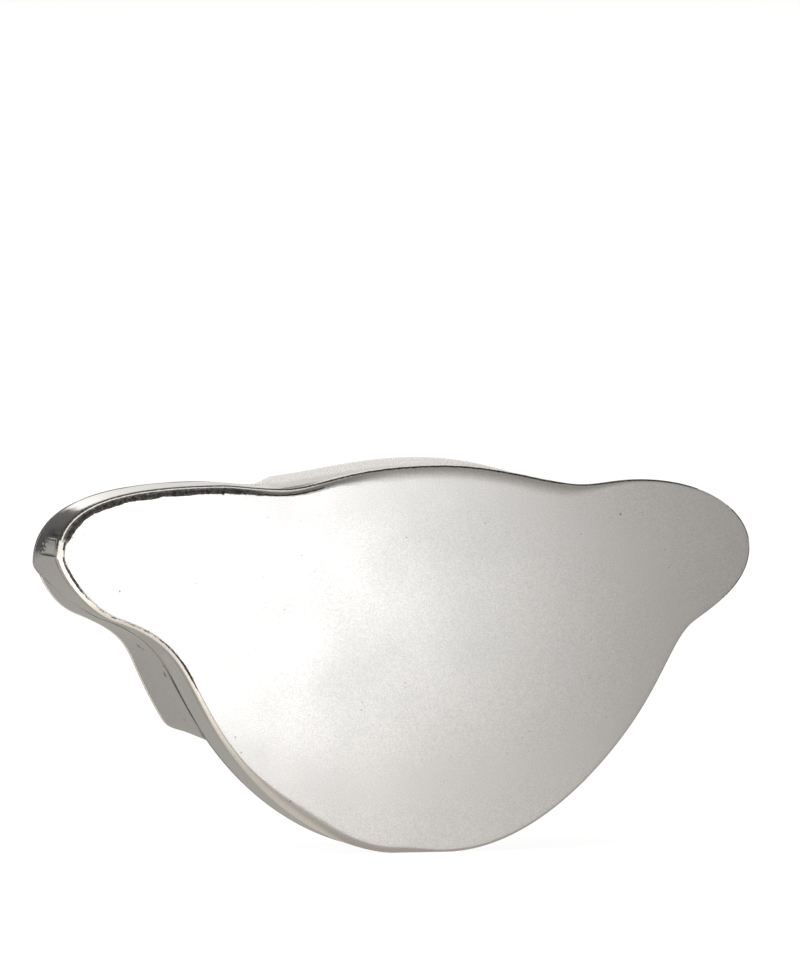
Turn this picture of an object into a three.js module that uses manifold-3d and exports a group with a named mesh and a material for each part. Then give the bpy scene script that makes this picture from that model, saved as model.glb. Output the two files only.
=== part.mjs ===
import * as THREE from 'three';
import { mergeVertices } from 'three/addons/utils/BufferGeometryUtils.js';
import Module from 'manifold-3d';

// Sauce boat of sheet silver: two shallow shells meet at a middle plate and share one hollow, open on top.
// Millimetres. +X runs to the pouring lip, +Y to the back, +Z up.
// The origin lies on the table, under the middle of the body's length and of its depth.

// Overall sizes
const bodyLength = 201;
const frontShellDepth = 26;
const backShellDepth = 26;

// Sheets, rolled edges and solder joints
const frontSheet = 1.6;
const sheet = 1.2;
const frontEdgeRadius = 2;
const frontFlange = 2;
const backEdgeRadius = 2;
const backFlange = 1;
const solderGap = 0.3;

// Foot: the flat pressed into the belly
const footWidth = 15;
const footOffset = 4.5;

// Heights of the front outline
const tipHeight = 84;
const lobeRise = 19.2;
const valleyDrop = 1.2;
const bumpRise = 6.1;
const bellyMarkHeight = 36;

// Front outline, handle end: distances in from the handle's tip and down from it
const handleTopRun = 47;
const handleValleyRun = 64.5;
const handleUnderRun = 17;
const handleUnderDrop = 18.7;
const handleBellyRun = 44.5;

// Front outline, spout end: distances in from the spout's tip and down from it
const spoutTopRun = 32.5;
const spoutValleyRun = 48.5;
const spoutUnderRun = 16;
const spoutUnderDrop = 20.5;
const spoutBellyRun = 33.7;

// Hump of both lips over the mouth
const bumpOffset = 10;
const backBumpOffset = 16;
const rearLipDrop = 0.3;

// Front shell at the middle plate: the handle runs further out and its tip sits lower, the waist less far
const handleRearOut = 1;
const handleRearDrop = 3;
const waistRearIn = 1;

// Back shell: its root lies in from the front shell's edge, and its rear panel differs from its root
const lobeLedge = 5.5;
const waistLedge = 0.4;
const shoulderDrop = 2.6;
const handleCornerShare = 0.075;
const spoutCornerShare = 0.19;
const cornerTurn = 33;
const bottomSag = 7.7;
const lobeDraft = 0.3;
const tipDraft = 1.4;
const waistFlare = 3.3;
const underFlare = 1.2;
const waistFlareDrop = 1.1;
const bottomLift = 0.9;

// Mouth: where the closed lobes end, measured in from the tips at the rear panel
const hoodRun = 67.1;
const hoodStepRun = 74.9;
const hoodStepRise = 1;
const mouthSlant = 6.4;
const backMouthRun = 34;
const hoodStepShare = 0.55;
const spoutLipShare = 0.42;
const spoutBackDrop = 3.7;

// Straight steps along an outline and round a rolled edge, and how far apart two places are still one
const facet = 4.5;
const leastSteps = 4;
const edgeSteps = 4;
const samePlace = 1e-9;

const wasm = await Module();
wasm.setup();

const lobeHeight = tipHeight + lobeRise;
const valleyHeight = lobeHeight - valleyDrop;
const bumpHeight = valleyHeight + bumpRise;
const handleTipX = -bodyLength / 2 + handleRearOut;
const spoutTipX = bodyLength / 2;
const frontFace = -frontShellDepth;
const backFace = backShellDepth;
const frontPanDepth = frontEdgeRadius + frontFlange;
const backPanDepth = backEdgeRadius + backFlange;

// One mark of an outline: its name, its place, the way the outline runs there in degrees (0 to the spout,
// 90 up), and how far the curve is pulled along that way before and after it, as shares of the straight
// distance to the marks beside it.
function mark(name, x, z, heading, before, after) {
  return { name, x, z, heading: THREE.MathUtils.degToRad(heading), before, after };
}

// The outline of the front shell, from the foot round the spout, the lips and the handle.
// Rear is 0 at the front panel and 1 at the middle plate.
function shellMarks(rear) {
  const tipX = handleTipX - rear * handleRearOut;
  const underX = handleTipX + handleUnderRun + rear * waistRearIn;
  const bellyX = handleTipX + handleBellyRun + rear * waistRearIn;
  return [
    mark('foot_right', footOffset + footWidth / 2, 0, 0, 0.33, 0.42),
    mark('spout_belly', spoutTipX - spoutBellyRun, bellyMarkHeight, 55, 0.15, 0.5),
    mark('spout_under', spoutTipX - spoutUnderRun, tipHeight - spoutUnderDrop, 34, 0.22, 0.32),
    mark('spout_tip', spoutTipX, tipHeight, 90, 0.38, 0.26),
    mark('spout_top', spoutTipX - spoutTopRun, lobeHeight, 180, 0.53, 0.41),
    mark('spout_valley', spoutTipX - spoutValleyRun, valleyHeight, 180, 0.32, 0.21),
    mark('bump', bumpOffset, bumpHeight, 180, 0.42, 0.62),
    mark('handle_valley', handleTipX + handleValleyRun, valleyHeight, 180, 0.23, 0.38),
    mark('handle_top', handleTipX + handleTopRun, lobeHeight, 180, 0.2, 0.62),
    mark('handle_tip', tipX, tipHeight - rear * handleRearDrop, 270, 0.28, 0.14),
    mark('handle_under', underX, tipHeight - handleUnderDrop, 341, 0.4 - 0.25 * rear, 0.48),
    mark('handle_belly', bellyX, bellyMarkHeight, 301, 0.44, 0.52),
    mark('foot_left', footOffset - footWidth / 2, 0, 0, 0.15, 0.33),
  ];
}

// A lower corner of the back shell: it turns in from the front shell's rear edge, at this place of it.
function backCorner(name, place, turn, lift) {
  const edge = pointAt(seamCurves, place);
  const heading = THREE.MathUtils.radToDeg(Math.atan2(edge.outX, -edge.outZ)) + turn;
  const [inside] = ring([edge], waistLedge, 0);
  return mark(name, inside.x, inside.z + lift, heading, 0.36, 0.36);
}

// The outline of the back shell. Out is 0 at its root on the middle plate and 1 at its rear panel.
// Under both lobes it runs along the front shell; above, it is a smaller copy of it.
function backMarks(out) {
  const inset = lobeLedge + out * lobeDraft;
  const tipZ = tipHeight - handleRearDrop / 2 - out * tipDraft;
  const shoulder = lobeHeight - shoulderDrop;
  const slant = (1 - out) * mouthSlant;
  const lift = out * bottomLift;
  const handleCornerPlace = placeOf(seamCurves, 'handle_belly') + handleCornerShare;
  const spoutCornerPlace = placeOf(seamCurves, 'spout_belly') - spoutCornerShare;
  const handleCorner = backCorner('handle_corner', handleCornerPlace, cornerTurn, lift);
  const spoutCorner = backCorner('spout_corner', spoutCornerPlace, -cornerTurn, lift);
  const waistZ = bellyMarkHeight - out * waistFlareDrop;
  const handleWaistX = handleTipX + handleBellyRun + waistRearIn + waistLedge - out * waistFlare;
  const handleUnderX = handleTipX + handleUnderRun + waistRearIn + waistLedge - out * underFlare;
  const spoutWaistX = spoutTipX - spoutBellyRun - waistLedge + out * waistFlare;
  const spoutUnderX = spoutTipX - spoutUnderRun - waistLedge;
  return [
    handleCorner,
    mark('bottom', footOffset, handleCorner.z - bottomSag, 0, 0.3, 0.3),
    spoutCorner,
    mark('spout_waist', spoutWaistX, waistZ, 57, 0.4, 0.5),
    mark('spout_under', spoutUnderX, tipHeight - spoutUnderDrop, 34, 0.22, 0.3),
    mark('spout_tip', spoutTipX - inset, tipZ, 90, 0.4, 0.28),
    mark('spout_hood', spoutTipX - backMouthRun, shoulder - shoulderDrop, 173, 0.4, 0.33),
    mark('bump', backBumpOffset, bumpHeight - rearLipDrop, 180, 0.46, 0.38),
    mark('hood_step', handleTipX + hoodStepRun - slant, valleyHeight + hoodStepRise, 186, 0.3, 0.23),
    mark('handle_hood', handleTipX + hoodRun - slant, shoulder, 181, 0.49, 0.6),
    mark('handle_tip', handleTipX + inset, tipZ, 270, 0.28, 0.17),
    mark('handle_under', handleUnderX, tipHeight - handleUnderDrop, 338, 0.42, 0.52),
    mark('handle_waist', handleWaistX, waistZ, 302, 0.6, 0.4),
  ];
}

// One curve for each mark, from it to the next, under the mark's name.
function curvesThrough(marks) {
  return marks.map((start, i) => {
    const end = marks[(i + 1) % marks.length];
    const chord = Math.hypot(end.x - start.x, end.z - start.z);
    const out = chord * start.after;
    const back = chord * end.before;
    const curve = new THREE.CubicBezierCurve(
      new THREE.Vector2(start.x, start.z),
      new THREE.Vector2(start.x + out * Math.cos(start.heading), start.z + out * Math.sin(start.heading)),
      new THREE.Vector2(end.x - back * Math.cos(end.heading), end.z - back * Math.sin(end.heading)),
      new THREE.Vector2(end.x, end.z),
    );
    curve.name = start.name;
    return curve;
  });
}

function placeOf(curves, name) {
  return curves.findIndex((curve) => curve.name === name);
}

// Points along the curves from one place to another. A place is a curve's number plus a share of that
// curve, and may run past the last curve onto the first again.
function stations(curves, from, to) {
  const places = [];
  let place = from;
  while (place < to - samePlace) {
    const curve = Math.floor(place + samePlace);
    const end = Math.min(curve + 1, to);
    const length = curves[curve % curves.length].getLength() * (end - place);
    const steps = Math.max(leastSteps, Math.round(length / facet));
    for (let i = 0; i < steps; i += 1) places.push(place + ((end - place) * i) / steps);
    place = end;
  }
  return places;
}

function pointAt(curves, place) {
  const index = Math.floor(place + samePlace);
  const share = Math.max(0, place - index);
  const curve = curves[index % curves.length];
  const point = curve.getPoint(share);
  const way = curve.getTangent(share);
  return { x: point.x, z: point.y, outX: way.y, outZ: -way.x };
}

// A ring of points: the outline moved inwards and set at one depth.
function ring(points, inset, depth) {
  return points.map((p) => new THREE.Vector3(p.x - p.outX * inset, depth, p.z - p.outZ * inset));
}

function fullOutline(curves) {
  return stations(curves, 0, curves.length).map((place) => pointAt(curves, place));
}

// A closed body through rings of equally many points, capped at its first and last ring.
function loft(rings) {
  const count = rings[0].length;
  const triangles = [];
  for (let r = 0; r + 1 < rings.length; r += 1) {
    for (let i = 0; i < count; i += 1) {
      const next = (i + 1) % count;
      const a = r * count + i;
      const b = r * count + next;
      triangles.push([a, b, b + count], [a, b + count, a + count]);
    }
  }
  const first = capOf(rings[0]);
  const last = capOf(rings[rings.length - 1]);
  const lastStart = (rings.length - 1) * count;
  first.forEach(([a, b, c]) => triangles.push([a, c, b]));
  last.forEach(([a, b, c]) => triangles.push([lastStart + a, lastStart + b, lastStart + c]));
  return facingOut(rings.flat(), triangles);
}

// Triangles that close a ring, wound the way the ring runs.
function capOf(points) {
  if (points.length === 4) return [[0, 1, 2], [0, 2, 3]];
  const flat = points.map((p) => new THREE.Vector2(p.x, p.z));
  return THREE.ShapeUtils.triangulateShape(flat, []);
}

function facingOut(points, triangles) {
  const volume = triangles.reduce((sum, [a, b, c]) => {
    const normal = new THREE.Vector3().crossVectors(points[b], points[c]);
    return sum + points[a].dot(normal);
  }, 0);
  const wound = volume < 0 ? triangles.map(([a, b, c]) => [a, c, b]) : triangles;
  const geometry = new THREE.BufferGeometry().setFromPoints(points);
  geometry.setIndex(wound.flat());
  return geometry;
}

// A sheet with a rolled edge and a short flange, depth deep in all. The face lies at faceDepth and turning
// is +1 or -1, the way along Y that its edge turns.
function pan(points, thickness, radius, depth, faceDepth, turning) {
  const rings = [];
  const inner = radius - thickness;
  for (let i = 0; i <= edgeSteps; i += 1) {
    const angle = (Math.PI / 2) * (i / edgeSteps);
    const inset = radius * (1 - Math.sin(angle));
    rings.push(ring(points, inset, faceDepth + turning * radius * (1 - Math.cos(angle))));
  }
  rings.push(ring(points, 0, faceDepth + turning * depth));
  rings.push(ring(points, thickness, faceDepth + turning * depth));
  for (let i = edgeSteps; i >= 0; i -= 1) {
    const angle = (Math.PI / 2) * (i / edgeSteps);
    const inset = thickness + inner * (1 - Math.sin(angle));
    rings.push(ring(points, inset, faceDepth + turning * (thickness + inner * (1 - Math.cos(angle)))));
  }
  return loft(rings);
}

// A strip bent along an outline, from one place to another and from one depth to another.
function strip(nearCurves, farCurves, from, to, nearDepth, farDepth) {
  const places = stations(nearCurves, from, to).concat(to);
  const sections = places.map((place) => {
    const near = pointAt(nearCurves, place);
    const far = pointAt(farCurves, place);
    const [nearOut] = ring([near], 0, nearDepth);
    const [nearIn] = ring([near], sheet, nearDepth);
    const [farOut] = ring([far], 0, farDepth);
    const [farIn] = ring([far], sheet, farDepth);
    return [nearOut, farOut, farIn, nearIn];
  });
  return loft(sections);
}

function toSolid(geometry) {
  const bare = geometry.clone();
  bare.deleteAttribute('normal');
  bare.deleteAttribute('uv');
  const merged = mergeVertices(bare, 1e-4);
  return new wasm.Manifold(new wasm.Mesh({
    numProp: 3,
    vertProperties: Float32Array.from(merged.attributes.position.array),
    triVerts: Uint32Array.from(merged.index.array),
  }));
}

function toGeometry(solid) {
  const { vertProperties, triVerts } = solid.getMesh();
  const geometry = new THREE.BufferGeometry();
  geometry.setAttribute('position', new THREE.BufferAttribute(vertProperties, 3));
  geometry.setIndex(new THREE.BufferAttribute(triVerts, 1));
  return geometry;
}

const frontCurves = curvesThrough(shellMarks(0));
const seamCurves = curvesThrough(shellMarks(1));
const backRootCurves = curvesThrough(backMarks(0));
const backCurves = curvesThrough(backMarks(1));
const frontOutline = fullOutline(frontCurves);
const seamOutline = stations(frontCurves, 0, seamCurves.length).map((place) => pointAt(seamCurves, place));
const backRootOutline = fullOutline(backRootCurves);
const backOutline = stations(backRootCurves, 0, backCurves.length).map((place) => pointAt(backCurves, place));

// Places of the front shell's joints, from the handle round the belly to the pouring lip.
const spoutLip = placeOf(frontCurves, 'spout_tip') + spoutLipShare;
const spoutJoint = placeOf(frontCurves, 'spout_under');
const handleJoint = placeOf(frontCurves, 'handle_tip');
const handleMouth = placeOf(frontCurves, 'handle_valley');

// Strip of the front shell from one place to another, less half a solder gap at each end.
function frontStrip(from, to) {
  const firstCurve = frontCurves[from % frontCurves.length];
  const lastCurve = frontCurves[(Math.ceil(to) - 1) % frontCurves.length];
  const start = from + solderGap / 2 / firstCurve.getLength();
  const end = to - solderGap / 2 / lastCurve.getLength();
  return strip(frontCurves, seamCurves, start, end, frontFace + frontPanDepth, -sheet);
}

// Between the shells: the front outline, less the hollow of the back shell and the open mouth.
function middlePlate() {
  const whole = toSolid(loft([ring(seamOutline, 0, -sheet), ring(seamOutline, 0, 0)]));
  const hollow = toSolid(loft([
    ring(backRootOutline, sheet, -2 * sheet),
    ring(backRootOutline, sheet, sheet),
  ]));
  const lip = pointAt(frontCurves, spoutLip);
  const mouthLeft = handleTipX + handleValleyRun;
  const edge = lobeHeight - spoutBackDrop;
  const cut = new THREE.BoxGeometry(lip.x - mouthLeft, 4 * sheet, bumpHeight);
  cut.translate((lip.x + mouthLeft) / 2, 0, edge + bumpHeight / 2);
  return toGeometry(whole.subtract(hollow).subtract(toSolid(cut)));
}

const satinSilver = { color: 0xdbd4c8, roughness: 0.34, metalness: 1 };
const polishedSilver = { color: 0xd4ccc1, roughness: 0.16, metalness: 1 };

function piece(name, geometry, finish) {
  const faceted = geometry.toNonIndexed();
  faceted.computeVertexNormals();
  const mesh = new THREE.Mesh(faceted, new THREE.MeshStandardMaterial(finish));
  mesh.name = name;
  return mesh;
}

function frontPanel() {
  return pan(frontOutline, frontSheet, frontEdgeRadius, frontPanDepth, frontFace, 1);
}

function backPanel() {
  return pan(backOutline, sheet, backEdgeRadius, backPanDepth, backFace, -1);
}

function backBand() {
  const from = placeOf(backCurves, 'hood_step') + hoodStepShare;
  const to = placeOf(backCurves, 'spout_hood') + backCurves.length;
  return strip(backRootCurves, backCurves, from, to, 0, backFace - backPanDepth);
}

const sauceBoat = new THREE.Group();
sauceBoat.add(
  piece('front_panel', frontPanel(), satinSilver),
  piece('handle_band', frontStrip(handleMouth, handleJoint), polishedSilver),
  piece('belly_band', frontStrip(handleJoint, spoutJoint + frontCurves.length), polishedSilver),
  piece('spout_band', frontStrip(spoutJoint, spoutLip), polishedSilver),
  piece('middle_plate', middlePlate(), polishedSilver),
  piece('back_band', backBand(), polishedSilver),
  piece('back_panel', backPanel(), satinSilver),
);

export default sauceBoat;
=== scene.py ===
import bmesh
import bpy
import math
import numpy as np
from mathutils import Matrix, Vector, noise
from mathutils.geometry import delaunay_2d_cdt


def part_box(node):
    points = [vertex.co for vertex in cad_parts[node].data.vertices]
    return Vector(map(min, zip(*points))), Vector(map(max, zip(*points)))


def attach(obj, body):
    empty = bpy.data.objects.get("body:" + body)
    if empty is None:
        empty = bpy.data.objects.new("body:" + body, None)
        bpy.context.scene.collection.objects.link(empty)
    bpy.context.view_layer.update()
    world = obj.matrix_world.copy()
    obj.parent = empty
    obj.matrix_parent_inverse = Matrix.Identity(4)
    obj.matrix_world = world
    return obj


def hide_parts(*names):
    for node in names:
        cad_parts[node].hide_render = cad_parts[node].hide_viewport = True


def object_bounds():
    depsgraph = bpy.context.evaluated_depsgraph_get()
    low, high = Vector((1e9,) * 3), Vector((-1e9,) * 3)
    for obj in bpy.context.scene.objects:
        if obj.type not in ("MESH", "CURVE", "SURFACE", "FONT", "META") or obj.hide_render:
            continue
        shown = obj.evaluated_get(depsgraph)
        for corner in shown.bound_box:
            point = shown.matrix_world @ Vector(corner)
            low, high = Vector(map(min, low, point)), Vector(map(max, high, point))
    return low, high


# Sauce boat of sheet silver. Shapes are worked out in millimetres and turned into metres as meshes are made.
# +X runs to the pouring lobe, +Y to the back, +Z up.
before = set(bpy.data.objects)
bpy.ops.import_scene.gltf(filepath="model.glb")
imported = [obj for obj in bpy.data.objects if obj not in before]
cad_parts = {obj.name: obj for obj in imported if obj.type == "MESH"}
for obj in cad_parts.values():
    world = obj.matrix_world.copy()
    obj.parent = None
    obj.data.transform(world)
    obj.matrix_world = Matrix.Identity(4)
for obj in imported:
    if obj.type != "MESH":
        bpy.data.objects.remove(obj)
cad_low, cad_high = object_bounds()
MM = 0.001

# Overall sizes, from the frame
BODY_LENGTH = (cad_high.x - cad_low.x) / MM
FRONT_FACE = cad_low.y / MM
BACK_FACE = cad_high.y / MM

# Sheets and edges
SHEET = 1.2
FRONT_SHEET = 1.6
FRONT_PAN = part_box("front_panel")[1].y / MM - FRONT_FACE
BACK_PAN = BACK_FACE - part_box("back_panel")[0].y / MM

# Front outline, as in the frame's source
FOOT_WIDTH, FOOT_OFFSET = 15, 4.5
TIP_HEIGHT, LOBE_RISE, VALLEY_DROP, BUMP_RISE, BELLY_HEIGHT = 84, 19.2, 1.2, 6.1, 36
HANDLE_TOP_RUN, HANDLE_VALLEY_RUN, HANDLE_BELLY_RUN = 47, 64.5, 44.5
HANDLE_UNDER_RUN, HANDLE_UNDER_DROP = 17, 18.7
SPOUT_TOP_RUN, SPOUT_VALLEY_RUN, SPOUT_BELLY_RUN = 32.5, 48.5, 33.7
SPOUT_UNDER_RUN, SPOUT_UNDER_DROP = 16, 20.5
BUMP_OFFSET, BACK_BUMP_OFFSET, REAR_LIP_DROP = 10, 16, 0.3
HANDLE_REAR_OUT, HANDLE_REAR_DROP, WAIST_REAR_IN = 1, 3, 1

# Back shell
LOBE_LEDGE, WAIST_LEDGE, SHOULDER_DROP = 5.5, 0.4, 2.6
HANDLE_CORNER_SHARE, SPOUT_CORNER_SHARE, CORNER_TURN, BOTTOM_SAG = 0.075, 0.19, 33, 7.7
LOBE_DRAFT, TIP_DRAFT, WAIST_FLARE, UNDER_FLARE, WAIST_FLARE_DROP, BOTTOM_LIFT = 0.3, 1.4, 3.3, 1.2, 1.1, 0.9
HOOD_RUN, HOOD_STEP_RUN, HOOD_STEP_RISE, MOUTH_SLANT, BACK_MOUTH_RUN = 67.1, 74.9, 1, 6.4, 34
HOOD_STEP_SHARE, SPOUT_LIP_SHARE, SPOUT_BACK_DROP = 0.55, 0.42, 3.7

LOBE_HEIGHT = TIP_HEIGHT + LOBE_RISE
VALLEY_HEIGHT = LOBE_HEIGHT - VALLEY_DROP
BUMP_HEIGHT = VALLEY_HEIGHT + BUMP_RISE
HANDLE_TIP_X = -BODY_LENGTH / 2 + HANDLE_REAR_OUT
SPOUT_TIP_X = BODY_LENGTH / 2

# How finely outlines are cut, in millimetres: as a rule, round a sharp bend, and how far the fine cuts reach
STEP = 0.8
FINE_STEP = 0.2
FINE_REACH = 6
RUN_SAMPLES = 4001
SAME_PLACE = 1e-9
SHARP_ANGLE = math.radians(38)


def mark(name, x, z, heading, before, after):
    """One mark: its name and place, the way the line runs there in degrees (0 to the spout, 90 up), and how
    far the curve is pulled along that way before and after it, as shares of the distance to the next mark."""
    return name, x, z, math.radians(heading), before, after


def shell_marks(rear):
    """Marks of the front shell's outline. Rear is 0 at the front panel and 1 at the middle plate."""
    tip_x = HANDLE_TIP_X - rear * HANDLE_REAR_OUT
    under_x = HANDLE_TIP_X + HANDLE_UNDER_RUN + rear * WAIST_REAR_IN
    belly_x = HANDLE_TIP_X + HANDLE_BELLY_RUN + rear * WAIST_REAR_IN
    return [
        mark("foot_right", FOOT_OFFSET + FOOT_WIDTH / 2, 0, 0, 0.33, 0.42),
        mark("spout_belly", SPOUT_TIP_X - SPOUT_BELLY_RUN, BELLY_HEIGHT, 55, 0.15, 0.5),
        mark("spout_under", SPOUT_TIP_X - SPOUT_UNDER_RUN, TIP_HEIGHT - SPOUT_UNDER_DROP, 34, 0.22, 0.32),
        mark("spout_tip", SPOUT_TIP_X, TIP_HEIGHT, 90, 0.38, 0.26),
        mark("spout_top", SPOUT_TIP_X - SPOUT_TOP_RUN, LOBE_HEIGHT, 180, 0.53, 0.41),
        mark("spout_valley", SPOUT_TIP_X - SPOUT_VALLEY_RUN, VALLEY_HEIGHT, 180, 0.32, 0.21),
        mark("bump", BUMP_OFFSET, BUMP_HEIGHT, 180, 0.42, 0.62),
        mark("handle_valley", HANDLE_TIP_X + HANDLE_VALLEY_RUN, VALLEY_HEIGHT, 180, 0.23, 0.38),
        mark("handle_top", HANDLE_TIP_X + HANDLE_TOP_RUN, LOBE_HEIGHT, 180, 0.2, 0.62),
        mark("handle_tip", tip_x, TIP_HEIGHT - rear * HANDLE_REAR_DROP, 270, 0.28, 0.14),
        mark("handle_under", under_x, TIP_HEIGHT - HANDLE_UNDER_DROP, 341, 0.4 - 0.25 * rear, 0.48),
        mark("handle_belly", belly_x, BELLY_HEIGHT, 301, 0.44, 0.52),
        mark("foot_left", FOOT_OFFSET - FOOT_WIDTH / 2, 0, 0, 0.15, 0.33),
    ]


class Outline:
    """A closed line of cubic curves through marks. A place is a curve's number plus a share of that curve."""

    def __init__(self, marks):
        self.names = [m[0] for m in marks]
        self.curves = []
        for start, end in zip(marks, marks[1:] + marks[:1]):
            _, x0, z0, way0, _, after = start
            _, x1, z1, way1, before, _ = end
            chord = math.hypot(x1 - x0, z1 - z0)
            out, back = chord * after, chord * before
            self.curves.append(np.array([
                (x0, z0),
                (x0 + out * math.cos(way0), z0 + out * math.sin(way0)),
                (x1 - back * math.cos(way1), z1 - back * math.sin(way1)),
                (x1, z1),
            ], float))

    def place(self, name):
        """The place of a mark."""
        return self.names.index(name)

    def at(self, places):
        """Points and outward normals at places, as two arrays of x and z."""
        places = np.asarray(places, float)
        number = np.floor(places + SAME_PLACE).astype(int)
        t = np.maximum(places - number, 0)[:, None]
        p0, p1, p2, p3 = np.array(self.curves)[number % len(self.curves)].transpose(1, 0, 2)
        s = 1 - t
        point = s**3 * p0 + 3 * s * s * t * p1 + 3 * s * t * t * p2 + t**3 * p3
        way = s * s * (p1 - p0) + 2 * s * t * (p2 - p1) + t * t * (p3 - p2)
        way /= np.linalg.norm(way, axis=1)[:, None]
        return point, np.stack([way[:, 1], -way[:, 0]], axis=1)

    def stations(self, start, end, fine_at=()):
        """Places from start to end, about a step apart, and closer round the places in fine_at."""
        line = np.linspace(start, end, RUN_SAMPLES)
        point, _ = self.at(line)
        gaps = np.linalg.norm(np.diff(point, axis=0), axis=1)
        run = np.concatenate([[0], np.cumsum(gaps)])
        middle = (run[1:] + run[:-1]) / 2
        pace = np.full(len(gaps), STEP)
        for centre in fine_at:
            away = np.abs(middle - np.interp(centre, line, run))
            coarser = np.clip((away - FINE_REACH) / FINE_REACH, 0, 1)
            pace = np.minimum(pace, FINE_STEP + (STEP - FINE_STEP) * coarser)
        count = np.concatenate([[0], np.cumsum(gaps / pace)])
        wanted = np.linspace(0, count[-1], int(round(count[-1])) + 1)
        return np.interp(wanted, count, line)


def back_corner(name, place, turn, lift):
    """A lower corner of the back shell. It lies on the seam, less a ledge, and turns off from it."""
    point, normal = seam_line.at([place])
    heading = math.degrees(math.atan2(normal[0, 0], -normal[0, 1])) + turn
    x, z = point[0] - normal[0] * WAIST_LEDGE
    return mark(name, x, z + lift, heading, 0.36, 0.36)


def back_marks(out):
    """Marks of the back shell's outline. Out is 0 at its root on the middle plate and 1 at its rear panel."""
    inset = LOBE_LEDGE + out * LOBE_DRAFT
    tip_z = TIP_HEIGHT - HANDLE_REAR_DROP / 2 - out * TIP_DRAFT
    shoulder = LOBE_HEIGHT - SHOULDER_DROP
    slant = (1 - out) * MOUTH_SLANT
    lift = out * BOTTOM_LIFT
    handle_place = seam_line.place("handle_belly") + HANDLE_CORNER_SHARE
    spout_place = seam_line.place("spout_belly") - SPOUT_CORNER_SHARE
    handle_corner = back_corner("handle_corner", handle_place, CORNER_TURN, lift)
    spout_corner = back_corner("spout_corner", spout_place, -CORNER_TURN, lift)
    waist_z = BELLY_HEIGHT - out * WAIST_FLARE_DROP
    handle_waist_x = HANDLE_TIP_X + HANDLE_BELLY_RUN + WAIST_REAR_IN + WAIST_LEDGE - out * WAIST_FLARE
    handle_under_x = HANDLE_TIP_X + HANDLE_UNDER_RUN + WAIST_REAR_IN + WAIST_LEDGE - out * UNDER_FLARE
    spout_waist_x = SPOUT_TIP_X - SPOUT_BELLY_RUN - WAIST_LEDGE + out * WAIST_FLARE
    spout_under_x = SPOUT_TIP_X - SPOUT_UNDER_RUN - WAIST_LEDGE
    hood_step_x = HANDLE_TIP_X + HOOD_STEP_RUN - slant
    return [
        handle_corner,
        mark("bottom", FOOT_OFFSET, handle_corner[2] - BOTTOM_SAG, 0, 0.3, 0.3),
        spout_corner,
        mark("spout_waist", spout_waist_x, waist_z, 57, 0.4, 0.5),
        mark("spout_under", spout_under_x, TIP_HEIGHT - SPOUT_UNDER_DROP, 34, 0.22, 0.3),
        mark("spout_tip", SPOUT_TIP_X - inset, tip_z, 90, 0.4, 0.28),
        mark("spout_hood", SPOUT_TIP_X - BACK_MOUTH_RUN, shoulder - SHOULDER_DROP, 173, 0.4, 0.33),
        mark("bump", BACK_BUMP_OFFSET, BUMP_HEIGHT - REAR_LIP_DROP, 180, 0.46, 0.38),
        mark("hood_step", hood_step_x, VALLEY_HEIGHT + HOOD_STEP_RISE, 186, 0.3, 0.23),
        mark("handle_hood", HANDLE_TIP_X + HOOD_RUN - slant, shoulder, 181, 0.49, 0.6),
        mark("handle_tip", HANDLE_TIP_X + inset, tip_z, 270, 0.28, 0.17),
        mark("handle_under", handle_under_x, TIP_HEIGHT - HANDLE_UNDER_DROP, 338, 0.42, 0.52),
        mark("handle_waist", handle_waist_x, waist_z, 302, 0.6, 0.4),
    ]


front_line = Outline(shell_marks(0))
seam_line = Outline(shell_marks(1))
root_line = Outline(back_marks(0))
back_line = Outline(back_marks(1))
HANDLE_JOINT = front_line.place("handle_tip")
HANDLE_MOUTH = front_line.place("handle_valley")
SPOUT_JOINT = front_line.place("spout_under")
SPOUT_LIP = front_line.place("spout_tip") + SPOUT_LIP_SHARE
BACK_FROM = back_line.place("hood_step") + HOOD_STEP_SHARE
BACK_TO = back_line.place("spout_hood") + len(back_line.curves)


def eased(value, low, high):
    """A smooth step from 0 at low to 1 at high."""
    share = np.clip((value - low) / (high - low), 0, 1)
    return share * share * (3 - 2 * share)


def hill(value, middle, reach, power=2):
    """1 in the middle, down to 0 on both sides. A higher power gives a flatter top."""
    return np.exp(-(((value - middle) / reach) ** power))


def along(line, places, values):
    """A value given at some marks, eased from one to the next all the way round."""
    rounds = len(line.curves)
    known = sorted((line.place(name), value) for name, value in values.items())
    at = np.array([k[0] for k in known] + [known[0][0] + rounds], float)
    value = np.array([k[1] for k in known] + [known[0][1]], float)
    places = (np.asarray(places) - at[0]) % rounds + at[0]
    index = np.clip(np.searchsorted(at, places, side="right") - 1, 0, len(at) - 2)
    share = eased(places, at[index], at[index + 1])
    return value[index] + share * (value[index + 1] - value[index])


def rough(points, size, strength, seed):
    """Smooth unevenness of the sheet at points of x, y and z. Each seed reads another part of the noise."""
    moved = np.asarray(points, float) / size + np.array([seed * 7.3, seed * 3.1, seed * 5.7])
    return strength * np.array([noise.noise(Vector(p)) for p in moved])


def turn_outwards(mesh):
    """Turns the faces outwards and marks the sharp edges."""
    work = bmesh.new()
    work.from_mesh(mesh)
    bmesh.ops.recalc_face_normals(work, faces=work.faces)
    work.to_mesh(mesh)
    work.free()
    mesh.set_sharp_from_angle(angle=SHARP_ANGLE)


def add_layers(mesh, layers):
    """Values at the points, which the finishes read by name."""
    for name, values in layers.items():
        layer = mesh.attributes.new(name, "FLOAT", "POINT")
        layer.data.foreach_set("value", np.asarray(values, np.float32))


def place_in_scene(name, data):
    """A new object that shows a mesh, a lamp's or a camera's data."""
    piece = bpy.data.objects.new(name, data)
    bpy.context.scene.collection.objects.link(piece)
    return piece


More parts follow.
